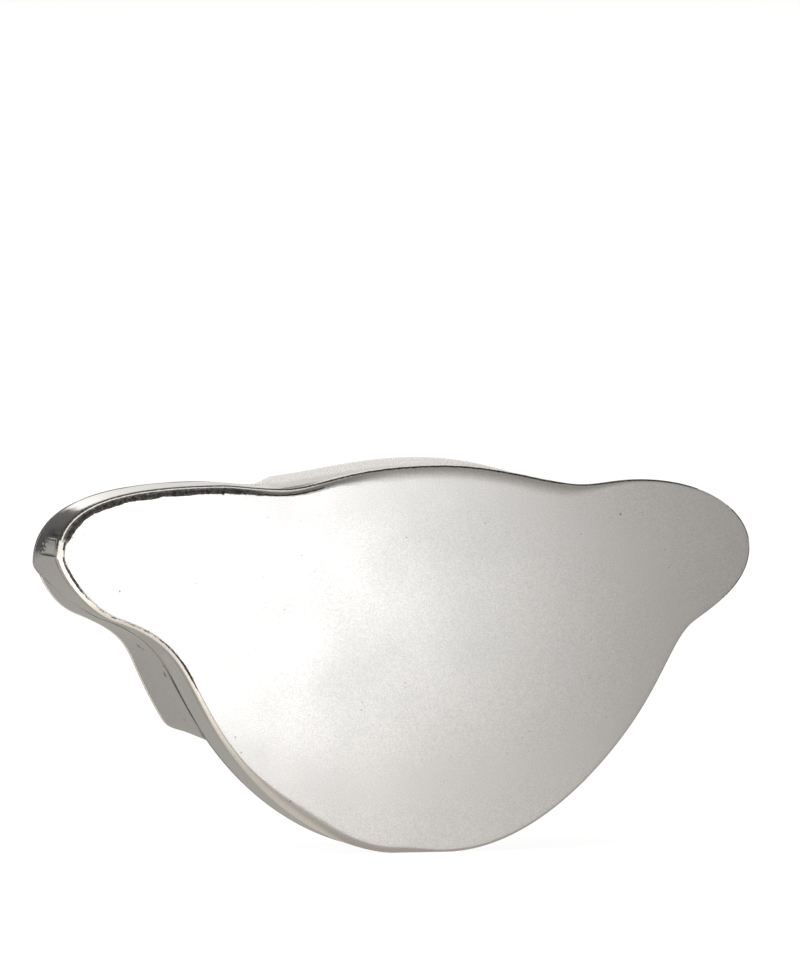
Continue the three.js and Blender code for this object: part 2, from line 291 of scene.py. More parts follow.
def make(name, points, faces, material, node, layers):
    """A visible piece from points in millimetres. It takes the place of one of the frame's solids."""
    mesh = bpy.data.meshes.new(name)
    corners = [tuple(p) for p in np.asarray(points, float) * MM]
    mesh.from_pydata(corners, [], [tuple(map(int, f)) for f in faces])
    mesh.update()
    add_layers(mesh, layers)
    mesh.shade_smooth()
    mesh.materials.append(material)
    piece = place_in_scene(name, mesh)
    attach(piece, "root")
    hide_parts(node)
    turn_outwards(mesh)


def grid_faces(rows, columns, round_columns=False):
    """Quads between rows of points. With round_columns the last column joins the first."""
    faces = []
    last = columns if round_columns else columns - 1
    for row in range(rows - 1):
        for column in range(last):
            a = row * columns + column
            b = row * columns + (column + 1) % columns
            faces.append((a, b, b + columns, a + columns))
    return faces


def inside(points, ring):
    """Which points lie inside a closed ring."""
    a, b = ring, np.roll(ring, -1, axis=0)
    hits = np.zeros(len(points), int)
    for (ax, az), (bx, bz) in zip(a, b):
        crosses = (az > points[:, 1]) != (bz > points[:, 1])
        if abs(bz - az) > SAME_PLACE:
            x = ax + (points[:, 1] - az) * (bx - ax) / (bz - az)
            hits += crosses & (points[:, 0] < x)
    return hits % 2 == 1


# Points that fill a sheet's middle: their spacing, how far they keep from the edge, and the rows between them
# and the edge, as how far in each row lies and every how many edge points it has one
CAP_SPACING = 3.0
CAP_MARGIN = 4.6
CAP_ROWS = ((1.1, 2), (2.8, 4))

# For the triangulation: keep what lies inside the ring, and take points this near as one
INSIDE_ONLY, ONE_POINT = 1, 1e-7


def cap(ring):
    """Triangles that fill a flat ring of x and z, with points spread evenly inside. Returns these inner
    points and the triangles, which count the ring's own points first."""
    out = np.roll(ring, -1, axis=0) - np.roll(ring, 1, axis=0)
    out = np.stack([out[:, 1], -out[:, 0]], axis=1)
    out /= np.linalg.norm(out, axis=1)[:, None]
    rows = np.arange(ring[:, 1].min(), ring[:, 1].max(), CAP_SPACING * math.sqrt(3) / 2)
    columns = np.arange(ring[:, 0].min(), ring[:, 0].max(), CAP_SPACING)
    dots = np.array([(x + (i % 2) * CAP_SPACING / 2, z) for i, z in enumerate(rows) for x in columns])
    dots = dots[inside(dots, ring)]
    near = np.array([np.hypot(*(ring - dot).T).min() for dot in dots])
    extra = [dots[near > CAP_MARGIN]]
    for inset, pick in CAP_ROWS:
        extra.append((ring - out * inset)[::pick])
    points = np.vstack([ring, *extra])
    border = list(range(len(ring)))
    found = delaunay_2d_cdt([Vector(p) for p in points], [], [border], INSIDE_ONLY, ONE_POINT)
    faces, origin = found[2:4]
    index = [o[0] if o else None for o in origin]
    if None in index:
        raise ValueError("the face's outline crosses itself")
    return points[len(ring):], [tuple(index[i] for i in f) for f in faces]


def panel(line, places, profile, face_depth, turning, bulge, thickness):
    """A sheet with a rolled edge. The profile gives, for every station, how far in and how deep each ring
    lies. Returns the points, the faces and how far along the profile each point lies, from 0 on the face to
    1 on the inner face."""
    point, normal = line.at(places)
    count = len(places)
    rings = []
    for inset, depth in profile:
        flat = point - normal * np.broadcast_to(inset, (count,))[:, None]
        y = face_depth + turning * np.broadcast_to(depth, (count,))
        rings.append(np.stack([flat[:, 0], y, flat[:, 1]], axis=1))
    # The face's bulge fades out with the depth
    sag = bulge(rings[0][:, 0], rings[0][:, 2])
    depths = np.array([np.broadcast_to(depth, (count,)) for _, depth in profile])
    deepest = depths.max(axis=0)
    for i, ring in enumerate(rings):
        start = thickness * i / (len(rings) - 1)
        ring[:, 1] += turning * sag * np.clip((deepest - depths[i]) / (deepest - start), 0, 1)
    points = [p for r in rings for p in r]
    faces = grid_faces(len(rings), count, round_columns=True)
    share = list(np.repeat(np.linspace(0, 1, len(rings)), count))
    for ring_number, depth, share_here in ((0, 0.0, 0.0), (len(rings) - 1, thickness, 1.0)):
        loose, triangles = cap(rings[ring_number][:, [0, 2]])
        ring_start, loose_start = ring_number * count, len(points)
        y = face_depth + turning * (depth + bulge(loose[:, 0], loose[:, 1]))
        points += [(x, d, z) for (x, z), d in zip(loose, y)]
        share += [share_here] * len(loose)
        for triangle in triangles:
            faces.append(tuple(ring_start + i if i < count else loose_start + i - count for i in triangle))
    return np.array(points, float), faces, np.array(share)


# Finishes
class Graph:
    """Short names for the nodes that the finishes, the floor and the studio use."""

    def __init__(self, tree, coords="Object"):
        self.tree = tree
        self.coords = tree.nodes.new("ShaderNodeTexCoord").outputs[coords]

    def link(self, a, b):
        self.tree.links.new(a, b)

    def stretched(self, scale, turn=(0, 0, 0)):
        node = self.tree.nodes.new("ShaderNodeMapping")
        node.inputs["Scale"].default_value = scale
        node.inputs["Rotation"].default_value = turn
        self.link(self.coords, node.inputs["Vector"])
        return node.outputs["Vector"]

    def noise(self, scale, detail=2.0, roughness=0.5, vector=None):
        node = self.tree.nodes.new("ShaderNodeTexNoise")
        node.inputs["Scale"].default_value = scale
        node.inputs["Detail"].default_value = detail
        node.inputs["Roughness"].default_value = roughness
        self.link(vector or self.coords, node.inputs["Vector"])
        return node.outputs["Fac"]

    def spots(self, scale):
        node = self.tree.nodes.new("ShaderNodeTexVoronoi")
        node.inputs["Scale"].default_value = scale
        self.link(self.coords, node.inputs["Vector"])
        return node.outputs["Distance"]

    def near(self, x, y, z, radius):
        """A ragged spot round a place in millimetres."""
        node = self.tree.nodes.new("ShaderNodeVectorMath")
        node.operation = "DISTANCE"
        self.link(self.coords, node.inputs[0])
        node.inputs[1].default_value = (x * MM, y * MM, z * MM)
        ragged = self.times(self.noise(1800, 2), radius * MM)
        away = self.plus(node.outputs["Value"], ragged)
        return self.span(away, radius * 0.9 * MM, radius * 1.5 * MM, 1, 0)

    def attribute(self, name):
        node = self.tree.nodes.new("ShaderNodeAttribute")
        node.attribute_name = name
        return node.outputs["Fac"]

    def span(self, value, low, high, to_low=0.0, to_high=1.0):
        """A smooth step from to_low, where the value is low, to to_high, where it is high."""
        node = self.tree.nodes.new("ShaderNodeMapRange")
        node.interpolation_type = "SMOOTHSTEP"
        self.link(value, node.inputs["Value"])
        node.inputs["From Min"].default_value = low
        node.inputs["From Max"].default_value = high
        node.inputs["To Min"].default_value = to_low
        node.inputs["To Max"].default_value = to_high
        return node.outputs["Result"]

    def math(self, kind, a, b):
        node = self.tree.nodes.new("ShaderNodeMath")
        node.operation = kind
        for socket, value in zip(node.inputs, (a, b)):
            if isinstance(value, (int, float)):
                socket.default_value = value
            else:
                self.link(value, socket)
        return node.outputs["Value"]

    def plus(self, a, b):
        return self.math("ADD", a, b)

    def minus(self, a, b):
        return self.math("SUBTRACT", a, b)

    def times(self, a, b):
        return self.math("MULTIPLY", a, b)

    def larger(self, a, b):
        return self.math("MAXIMUM", a, b)

    def blend(self, share, a, b):
        node = self.tree.nodes.new("ShaderNodeMix")
        node.data_type = "RGBA"
        self.link(share, node.inputs["Factor"])
        for socket, value in ((node.inputs["A"], a), (node.inputs["B"], b)):
            if isinstance(value, tuple):
                socket.default_value = (*value, 1)
            else:
                self.link(value, socket)
        return node.outputs["Result"]

    def bump(self, height, strength, distance, normal=None):
        node = self.tree.nodes.new("ShaderNodeBump")
        node.inputs["Strength"].default_value = strength
        node.inputs["Distance"].default_value = distance
        self.link(height, node.inputs["Height"])
        if normal:
            self.link(normal, node.inputs["Normal"])
        return node.outputs["Normal"]


# Noise and spot scales are per metre: 3300 gives grain of 0.3 mm
# Near-black for real tarnish and flecks, and for painted shade and painted dark reflections
TARNISH_AND_SHADE = (0.05, 0.046, 0.04)
PIT_COLOUR = (0.16, 0.15, 0.14)
GRAIN_SHADE = 0.72
LINE_HALF_WIDTH = 0.3
FINE_BUMP, COARSE_BUMP = 0.03 * MM, 0.1 * MM


def silver(name, base, shade, satin_roughness, polished_roughness, grain, scratch, specks):
    """Sheet silver: base colour with faint clouds, fine grain, scratches, pits, and near-black where the
    mesh's dark
    layer says: real tarnish and dark joints, and painted shade. On the front sheet two dark lines and a dark
    strip follow the edge, told by the distance from it: painted dark reflections of the studio in the rolled
    edge."""
    material = bpy.data.materials.new(name)
    material.use_nodes = True
    tree = material.node_tree
    shader = tree.nodes["Principled BSDF"]
    g = Graph(tree)
    clouds = g.span(g.noise(38, 3, 0.5), 0.35, 0.7)
    fine = g.noise(3300, 2, 0.7)
    scratches = g.noise(300, 3, 0.7, g.stretched((0.12, 1, 2.4), (0, 0.5, 0)))
    marks = g.noise(260, 3, 0.65, g.stretched((2.2, 1, 0.15), (0, 0.35, 0)))
    pits = g.span(g.spots(420), 0.05, 0.11, 1, 0)
    pits = g.times(pits, g.span(g.noise(90, 2), 0.6, 0.64))
    nicks = g.span(g.spots(610), 0.07, 0.13, 1, 0)
    nicks = g.times(nicks, g.span(g.noise(120, 2, 0.5, g.stretched((1.1, 1, 1.3))), 0.62, 0.65))
    polish = g.attribute("polish")
    colour = g.blend(clouds, base, shade)
    colour = g.blend(g.span(fine, 0.34, 0.66, 0.0, 0.64), colour, tuple(GRAIN_SHADE * c for c in base))
    colour = g.blend(g.times(pits, 0.5), colour, PIT_COLOUR)

    edge = g.attribute("edge")
    ragged = g.times(g.minus(g.noise(1300, 2), 0.5), 0.5)
    wavy = g.times(g.minus(g.noise(420, 3, 0.6), 0.5), 1.7)
    near = g.plus(edge, g.times(ragged, 0.6))
    # Painted dark reflections of the studio in the rolled edge: two dark lines and a dark strip along the
    # front sheet's edge
    dark_reflection_marks = []
    for line in ("line", "second"):
        away = g.math("ABSOLUTE", g.minus(near, g.attribute(line + "_at")), 0)
        strength = g.attribute(line)
        dots = g.span(g.plus(g.noise(800, 2), strength), 0.9, 1.1)
        dotted = g.times(dots, g.span(strength, 0, 0.4))
        away = g.math("DIVIDE", away, g.span(strength, 0.4, 1, 0.5, 1))
        dark_reflection_marks.append(g.times(g.span(away, LINE_HALF_WIDTH * 0.55, LINE_HALF_WIDTH, 1, 0), dotted))
    low = g.minus(g.attribute("band_end"), g.plus(edge, g.plus(wavy, ragged)))
    strip = g.times(g.span(low, -0.08, 0.08), g.span(near, 0.5, 0.66))
    strip = g.times(strip, g.span(g.noise(800, 3, 0.7), 0.35, 0.6, 0.88, 1.0))
    dark_reflection_marks.append(g.times(strip, g.attribute("band")))
    # The mesh's dark layer: real tarnish and dark joints, and painted shade on the rim and in the joint's
    # hollow; the painted dark reflections are laid over it
    grime_and_shade = g.attribute("grime_and_shade")
    for reflection_mark in dark_reflection_marks:
        grime_and_shade = g.larger(grime_and_shade, reflection_mark)
    dirt_and_shade = g.times(grime_and_shade, g.span(g.noise(1500, 2), 0.2, 0.6, 0.82, 1.0))
    colour = g.blend(dirt_and_shade, colour, TARNISH_AND_SHADE)
    for x, y, z, radius, dark in specks:
        colour = g.blend(g.times(g.near(x, y, z, radius), dark), colour, TARNISH_AND_SHADE)
    g.link(colour, shader.inputs["Base Color"])
    shader.inputs["Metallic"].default_value = 1
    satin = g.span(g.plus(fine, clouds), 0.3, 1.6, satin_roughness - 0.014, satin_roughness + 0.014)
    bright = g.span(scratches, 0.3, 0.7, polished_roughness - 0.03, polished_roughness + 0.05)
    mixed = g.tree.nodes.new("ShaderNodeMix")
    g.link(polish, mixed.inputs["Factor"])
    g.link(satin, mixed.inputs["A"])
    g.link(bright, mixed.inputs["B"])
    rougher = g.times(grime_and_shade, 0.25)
    g.link(g.plus(mixed.outputs["Result"], rougher), shader.inputs["Roughness"])
    normal = g.bump(fine, grain, FINE_BUMP)
    normal = g.bump(scratches, scratch, FINE_BUMP, normal)
    normal = g.bump(marks, 0.7 * scratch, FINE_BUMP, normal)
    normal = g.bump(g.minus(1, pits), 0.4, COARSE_BUMP, normal)
    normal = g.bump(nicks, 0.6, COARSE_BUMP, normal)
    g.link(normal, shader.inputs["Normal"])
    return material


def front_bulge(x, z):
    """How far the front sheet lies behind its middle: a slight crown and the low dents of raised sheet."""
    crown = 0.4 * ((x - 5) / 100) ** 2 + 0.3 * ((z - 60) / 50) ** 2
    dents = 0.012 * np.sin(x / 17 + z / 29) + 0.012 * np.sin(x / 31 - z / 13 + 1) + 0.03
    return crown + dents


# Small dark flecks: x, z, size and strength on the face, and x, y, z, size and strength on the walls
FACE_FLECKS = [
    (-52.6, 101.1, 0.8, 0.95), (-54.0, 101.4, 0.5, 0.8), (-33.2, 15.1, 0.4, 0.45), (-82.2, 74.4, 0.35, 0.7),
    (62.5, 93.5, 0.4, 0.7), (0.2, 88.0, 0.35, 0.4), (51.0, 88.2, 0.25, 0.5), (87.0, 84.0, 0.25, 0.5),
]
FACE_SPECKS = [(x, FRONT_FACE + front_bulge(x, z), z, size, dark) for x, z, size, dark in FACE_FLECKS]
WALL_SPECKS = [
    (-67.1, 11.3, 56.6, 1.0, 0.8), (-66.4, 9.6, 55.9, 0.6, 0.8), (-61.6, 3.5, 49.0, 1.0, 0.75),
    (-62.6, 1.2, 51.6, 0.5, 0.7), (-68.6, 13.4, 57.6, 0.4, 0.6), (-54.9, 7.4, 36.0, 0.5, 0.5),
]

satin_silver = silver("satin_silver", base=(0.955, 0.922, 0.874), shade=(0.915, 0.89, 0.85),
                      satin_roughness=0.36, polished_roughness=0.12, grain=0.6, scratch=0.22,
                      specks=FACE_SPECKS)
polished_silver = silver("polished_silver", base=(0.895, 0.893, 0.885), shade=(0.855, 0.853, 0.845),
                         satin_roughness=0.30, polished_roughness=0.10, grain=0.12, scratch=0.1,
                         specks=WALL_SPECKS)


# Front panel. Its edge changes from place to place, so its measures are told by x or z along the outline.
# ARC counts the steps round an edge, and points far from the edge get NO_EDGE as their distance from it. The
# softer roll stays below FOOT_LEVEL, and the top's rim lies above RIM_LEVEL. The rim has rows, as shares of
# its depth, and a small corner, the last of the OUTER_RINGS. An inner bend is never tighter than LEAST_BEND,
# and the polish grows over POLISH_RINGS.
ARC = 16
RIM_ROWS = (0.5, 0.93)
RIM_CORNER = 0.1
LEAST_BEND = 0.15
OUTER_RINGS = ARC + 2 + len(RIM_ROWS)
POLISH_RINGS = 5
NO_EDGE = 9
FOOT_LEVEL = 40
RIM_LEVEL = 86
LIP_FLANGE_CUT = 1.6
LOW_LINE_SHARE = 0.72
SECOND_LINE_IN = 1.75
SECOND_LINE_GAP = 0.34
LAYERS = ("polish", "grime_and_shade", "edge", "line", "line_at", "second", "second_at", "band", "band_end")
SPOUT_TIP = front_line.place("spout_tip")
front_places = front_line.stations(0, len(front_line.curves), fine_at=[HANDLE_JOINT])[:-1]
spot, _ = front_line.at(front_places)
spot_x, spot_z = spot[:, 0], spot[:, 1]
spot = np.stack([spot_x, 0 * spot_x, spot_z], axis=1)
on_top = (front_places > SPOUT_TIP) & (front_places < HANDLE_JOINT)
on_left = (front_places >= HANDLE_JOINT) | (front_places < 0.5)
gaps = np.linalg.norm(np.diff(spot, axis=0), axis=1)
run = np.concatenate([[0], np.cumsum(gaps)])
past_joint = run - np.interp(HANDLE_JOINT, front_places, run)
# How far the edge curves in across the face and back along the depth. From a bend just above the handle's
# joint on down, the edge is rounder back than across.
LOW_IN = {"foot_right": 0.8, "spout_belly": 0.4, "spout_under": 0.4, "spout_tip": 0.4,
          "handle_tip": 1.8, "handle_under": 1.5, "handle_belly": 1.1, "foot_left": 1.8}
LOW_DEEP = {"foot_right": 0.6, "spout_belly": 0.3, "spout_tip": 0.3,
            "handle_tip": 3.9, "handle_under": 3.6, "handle_belly": 1.6, "foot_left": 1.4}
TOP_X = [-60, -48, -40, -20, -6, 48, 66, 98]
TOP_IN = [2.5, 2.3, 2.1, 2.5, 4.6, 4.4, 1.2, 0.3]
TOP_DEEP = [2.4, 2.2, 2.0, 1.6, 1.1, 1.0, 0.4, 0.3]
low_in = along(front_line, front_places, LOW_IN)
low_deep = along(front_line, front_places, LOW_DEEP)
top_in = np.interp(spot_x, TOP_X, TOP_IN)
top_deep = np.interp(spot_x, TOP_X, TOP_DEEP)
# A softer roll left of the foot
soft = 2.2 * hill(spot_x, -30, 14) * (~on_top) * (spot_z < FOOT_LEVEL)
# Below is 0 along the top and 1 from the bend on down
below = np.where(on_top, eased(past_joint, -5.8, -3.6), 1.0)
below = np.where(on_top & (spot_x > 0), 0.0, below)
edge_in = top_in * (1 - below) + low_in * below + soft
edge_deep = top_deep * (1 - below) + low_deep * below + 0.25 * soft
uneven = np.where(on_top & (spot_x < -20), 1.0, 0.25)
edge_in = edge_in + uneven * (rough(spot, 1.3, 0.12, 1) + rough(spot, 6, 0.2, 2))
# Polished along the top at the handle and down the left side
shine = np.where(on_top, np.interp(spot_x, [-30, -5], [1, 0.0]), 0.0)
shine = np.maximum(shine, np.where(on_left, np.interp(spot_z, [34, 60], [0, 1.0]), 0))
# Over the open mouth the edge has only a short flange
open_lip = np.where(on_top & (front_places > SPOUT_LIP), np.interp(spot_x, [-38, -33], [0, 1]), 0)
front_rim = FRONT_PAN - open_lip * LIP_FLANGE_CUT
# The dark line along the edge, which a second one thickens on the left, is a painted dark reflection of the
# studio
# in the rolled edge: how far in it lies, how strong it is
top_line_at = np.interp(spot_x, [-46, -38, -22, 10, 40, 48], [0.12, 0.14, 0.4, 0.46, 0.42, 0.15])
low_line_at = LOW_LINE_SHARE * low_in
line_at = np.where(on_top, top_line_at, low_line_at)
line_at = np.where(on_top & (past_joint > -4.6) & (spot_x < 0), low_line_at, line_at)
line_at = np.where(~on_top & (spot_x > -20), 0.05, line_at)
line_top = np.interp(spot_x, [60, 80, 88, 93, 97], [1.0, 0.9, 0.3, 0.3, 1.0])
line_top = np.where(spot_z > RIM_LEVEL, line_top, 0.0)
line_left = np.interp(spot_z, [44, 47, 49, 53, 56, 60, 64, 72, 75, 80, 82, 90],
                      [0, 0.55, 1, 1, 0.7, 0.6, 0.5, 0.5, 1, 1, 0.8, 0.8])
line_right = np.interp(spot_x, [0, 20, 60, 90, 96], [0.0, 0.25, 0.25, 0.1, 0.8]) * (spot_x > 0)
line = np.where(on_top, line_top, np.where(on_left & (spot_x < -20), line_left, line_right))
# The dark strip inside the handle's rim: a painted dark reflection of the studio in the rolled edge
band_reflection_strength = np.where(on_top, np.interp(spot_x, [-44, -37, -22, -12], [0.98, 0.4, 0.35, 0]), 0) * (1 - below)
second = np.where(on_top, np.interp(spot_x, [-46, -40, -26, -20], [0, 0.95, 0.95, 0]), 0)
thick_line = np.interp(spot_z, [48, 50, 53, 55, 74, 75.5, 79, 81], [0, 1, 1, 0, 0, 1, 1, 0])
second = np.where(on_left & (spot_x < -20), thick_line, second)
second_at = np.where(on_top, SECOND_LINE_IN, line_at + SECOND_LINE_GAP)
# Painted shade on the rim behind the edge, and below it on the left; along the top right it darkens to a
# painted dark line
rim_shadow = np.interp(spot_z, [35, 60], [0, 1])
rim_painted_shade = np.where(on_top, np.interp(spot_x, [38, 48], [0.25, 1.0]), 0.5)
rim_painted_shade = np.where(spot_z > RIM_LEVEL, rim_painted_shade, 0.4 * rim_shadow)
flange_painted_shade = np.maximum(rim_painted_shade, 0.8 * (1 - open_lip) * rim_shadow)


def rolled(edge, deep, rim, thickness):
    """Rings of a rolled edge from the face, round the edge, over the rim and back to the inner face."""
    turns = np.linspace(0, math.pi / 2, ARC + 1)
    profile = [(edge * (1 - math.sin(a)), deep * (1 - math.cos(a))) for a in turns]
    profile += [(0 * edge, deep + (rim - deep) * s) for s in RIM_ROWS]
    profile += [(RIM_CORNER + 0 * edge, rim + 0 * edge), (thickness + 0 * edge, rim + 0 * edge)]
    inner_edge = np.maximum(edge - thickness, LEAST_BEND)
    inner_deep = np.clip(deep - thickness, LEAST_BEND, rim - thickness - RIM_CORNER)
    for a in turns[::-1]:
        inset = thickness + inner_edge * (1 - math.sin(a))
        profile.append((inset, thickness + inner_deep * (1 - math.cos(a))))
    return profile


profile = rolled(edge_in, edge_deep, front_rim, FRONT_SHEET)
points, faces, _ = panel(front_line, front_places, profile, FRONT_FACE, 1, front_bulge, FRONT_SHEET)
count = len(front_places)
layers = {name: np.zeros(len(points)) for name in LAYERS}
layers["edge"][:] = NO_EDGE
same_all_round = {"line": line, "line_at": line_at, "second": second, "second_at": second_at,
                  "band": band_reflection_strength, "band_end": edge_in - 0.02}
for ring, (inset, deep) in enumerate(profile[:OUTER_RINGS]):
    here = slice(ring * count, (ring + 1) * count)
    layers["polish"][here] = shine * min(1, ring / POLISH_RINGS)
    layers["edge"][here] = inset if ring <= ARC else -(deep - edge_deep)
    for name, values in same_all_round.items():
        layers[name][here] = values
    # The rim behind the roll gets the painted shade
    if ring > ARC:
        layers["grime_and_shade"][here] = rim_painted_shade if ring == ARC + 1 else flange_painted_shade
make("front_panel_sheet", points, faces, satin_silver, "front_panel", layers)


# Bands
JOINT_HEIGHT = 84.3
TIP_REACH = 12

# Rows near a band's edges: how far they lie from the edge, how far they dip into the joint's groove, and how
# dark the groove is there. The other rows start a little further in.
LEAD = np.array([0, 0.12, 0.45, 0.9, 1.3])
LEAD_DIP = np.array([0.1, 0.06, 0.03, 0, 0])
LEAD_DARK = np.array([1, 1, 0.85, 0.2, 0])
PAST_LEAD = 1.9


def joint_relief(height, depth):
    """The solder joint at the handle's tip: how far the wall stands proud, the painted shade in its hollow
    and crease, and where it is lumpy, from the height above the table and the depth behind the front face."""
    rise = height - JOINT_HEIGHT
    fold = 0.5 * np.clip(rise / 4.1, 0, 1) * (1 - eased(rise, 4.1, 4.7)) * hill(depth, 9.0, 7.0, 6)
    hollow = hill(rise, 5.5, 1.0) * hill(depth, 9.5, 6.0, 4)
    lip = hill(rise, 4.0, 0.35) * hill(depth, 8.5, 4.5, 4)
    crease = hill(rise, 0, 0.28) * hill(depth, 10.5, 6.5, 4)
    patch = hill(rise, 2.4, 2.1, 4) * hill(depth, 16.2, 3.0, 4)
    # Painted shade in the hollow above the joint and along its crease
    shade = np.clip(0.95 * hollow + 0.7 * crease, 0, 1)
    return fold - 0.4 * hollow + 0.07 * lip - 0.15 * crease, shade, patch


def band(name, node, near_line, far_line, places, near_depth, far_depth, near_dark, far_dark, joint=False,
         steps=12):
    """A strip bent along two outlines, with its thickness, and with a fine dark groove along both edges."""
    near, near_out = near_line.at(places)
    far, far_out = far_line.at(places)
    width = abs(far_depth - near_depth)
    middle = np.linspace(PAST_LEAD, width - PAST_LEAD, steps)
    shares = np.concatenate([LEAD / width, middle / width, 1 - LEAD[::-1] / width])
    dip = np.concatenate([LEAD_DIP, np.zeros(steps), LEAD_DIP[::-1]])
    no_stain = np.zeros(steps + len(LEAD))
    near_stain = np.concatenate([LEAD_DARK, no_stain])
    far_stain = np.concatenate([no_stain, LEAD_DARK[::-1]])
    outer, inner, dirt_and_shade = [], [], []
    for row, share in enumerate(shares):
        flat = near + (far - near) * share
        out = near_out + (far_out - near_out) * share
        out /= np.linalg.norm(out, axis=1)[:, None]
        y = near_depth + (far_depth - near_depth) * share
        spots = np.stack([flat[:, 0], np.full(len(flat), y), flat[:, 1]], axis=1)
        out = np.stack([out[:, 0], np.zeros(len(out)), out[:, 1]], axis=1)
        height = -dip[row] + np.minimum(rough(spots, 9, 0.05, 3) - 0.03, 0)
        dark = np.zeros(len(flat)) + near_stain[row] * near_dark + far_stain[row] * far_dark
        if joint:
            relief, shade, patch = joint_relief(flat[:, 1], y - FRONT_FACE)
            at_tip = flat[:, 0] < HANDLE_TIP_X + TIP_REACH
            lumps = rough(spots, 0.9, 0.25, 5) + rough(spots, 0.4, 0.14, 6)
            height = height + at_tip * (relief + patch * (lumps - 0.05))
            # Painted shade in the joint's hollow and crease, over the joints' own darkness
            dark = np.maximum(dark, at_tip * shade)
            dark = np.maximum(dark, at_tip * patch * np.clip(lumps * 3, 0, 0.6))
        outer.append(spots + out * height[:, None])
        inner.append(spots - out * SHEET)
        dirt_and_shade.append(dark)
    rings = outer + inner[::-1]
    rows, columns = len(rings), len(places)
    half = rows // 2
    points = np.array(rings).reshape(-1, 3)
    faces = grid_faces(rows, columns)
    last = (rows - 1) * columns
    faces += [(last + c, last + c + 1, c + 1, c) for c in range(columns - 1)]
    for column in (0, columns - 1):
        for row in range(half - 1):
            outside, inner_side = row * columns + column, last - row * columns + column
            faces.append((outside, outside + columns, inner_side - columns, inner_side))
    none = np.zeros(half * columns)
    polish = np.concatenate([none + 1, none])
    grime_and_shade = np.concatenate([np.array(dirt_and_shade).ravel(), none])
    make(name, points, faces, polished_silver, node, {"polish": polish, "grime_and_shade": grime_and_shade})


near_y = FRONT_FACE + FRONT_PAN
handle_places = front_line.stations(HANDLE_MOUTH, HANDLE_JOINT, fine_at=[HANDLE_JOINT])
belly_places = front_line.stations(HANDLE_JOINT, SPOUT_JOINT + len(front_line.curves), fine_at=[HANDLE_JOINT])
spout_places = front_line.stations(SPOUT_JOINT, SPOUT_LIP)


def x_of(line_of, places):
    """How far to the spout places on an outline lie."""
    return line_of.at(places)[0][:, 0]


# How dark the joints are along the outline. At the left waist the solder between the shells changes from
# place to place, at SEAM_X.
SEAM_X = [-88, -83, -75, -72, -63, -60, -55, -53, -40]
JOINT_STEPS = 46
PLAIN_DARK = 0.3
handle_x, belly_x = x_of(front_line, handle_places), x_of(front_line, belly_places)
tip_dark = np.interp(handle_x, [-99, -90, -60], [0.8, 0.6, 0.35])
under_dark = np.interp(belly_x, [-99, -88, -60, -52], [0.8, 0.35, 0.2, 0.0])
seam_dark = np.interp(belly_x, SEAM_X, [0.05, 0.8, 0.85, 0.45, 0.4, 0.7, 0.7, 0.3, 0.2])
band("handle_band_strip", "handle_band", front_line, seam_line, handle_places, near_y, -SHEET,
     tip_dark, PLAIN_DARK, joint=True, steps=JOINT_STEPS)
band("belly_band_strip", "belly_band", front_line, seam_line, belly_places, near_y, -SHEET,
     under_dark, seam_dark, joint=True, steps=JOINT_STEPS)
band("spout_band_strip", "spout_band", front_line, seam_line, spout_places, near_y, -SHEET,
     PLAIN_DARK, PLAIN_DARK)


# Middle plate: the seam's outline, less the hollow of the back shell and the open mouth
def prism(name, ring, low, high):
    """A flat ring of x and z, thickened from one depth to another."""
    count = len(ring)
    points = [(x, low, z) for x, z in ring] + [(x, high, z) for x, z in ring]
    faces = [tuple(range(count)), tuple(range(2 * count - 1, count - 1, -1))]
    faces += [(i, (i + 1) % count, (i + 1) % count + count, i + count) for i in range(count)]
    mesh = bpy.data.meshes.new(name)
    mesh.from_pydata([tuple(np.array(p) * MM) for p in points], [], faces)
    mesh.update()
    turn_outwards(mesh)
    return place_in_scene(name, mesh)


MOUTH_CUTTER_HEIGHT = 30
seam_points, _ = seam_line.at(front_line.stations(0, len(front_line.curves))[:-1])
root_points, root_out = root_line.at(root_line.stations(0, len(root_line.curves))[:-1])
lip, _ = front_line.at([SPOUT_LIP])
plate = prism("middle_plate_sheet", seam_points, -SHEET, 0)
hollow = prism("hollow_cutter", root_points - root_out * SHEET, -2 * SHEET, SHEET)
mouth_left, mouth_right = HANDLE_TIP_X + HANDLE_VALLEY_RUN, lip[0, 0]
mouth_bottom = LOBE_HEIGHT - SPOUT_BACK_DROP
mouth_top = mouth_bottom + MOUTH_CUTTER_HEIGHT
mouth_ring = [(mouth_left, mouth_bottom), (mouth_right, mouth_bottom),
              (mouth_right, mouth_top), (mouth_left, mouth_top)]
mouth = prism("mouth_cutter", mouth_ring, -2 * SHEET, 2 * SHEET)
for cutter in (hollow, mouth):
    cut = plate.modifiers.new(cutter.name, "BOOLEAN")
    cut.operation, cut.solver, cut.object = "DIFFERENCE", "EXACT", cutter
bpy.context.view_layer.update()
shaped = bpy.data.meshes.new_from_object(plate.evaluated_get(bpy.context.evaluated_depsgraph_get()))
plate.modifiers.clear()
plate.data = shaped
for cutter in (hollow, mouth):
    bpy.data.objects.remove(cutter)
plate.data.materials.clear()
plate.data.materials.append(polished_silver)
plate_x = np.array([v.co.x for v in plate.data.vertices]) / MM
plate_dark = np.interp(plate_x, SEAM_X, [0.05, 0.85, 0.9, 0.45, 0.4, 0.9, 0.9, 0.4, 0.1])
add_layers(plate.data, {"polish": np.full(len(plate_x), 0.6), "grime_and_shade": plate_dark})
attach(plate, "root")
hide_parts("middle_plate")

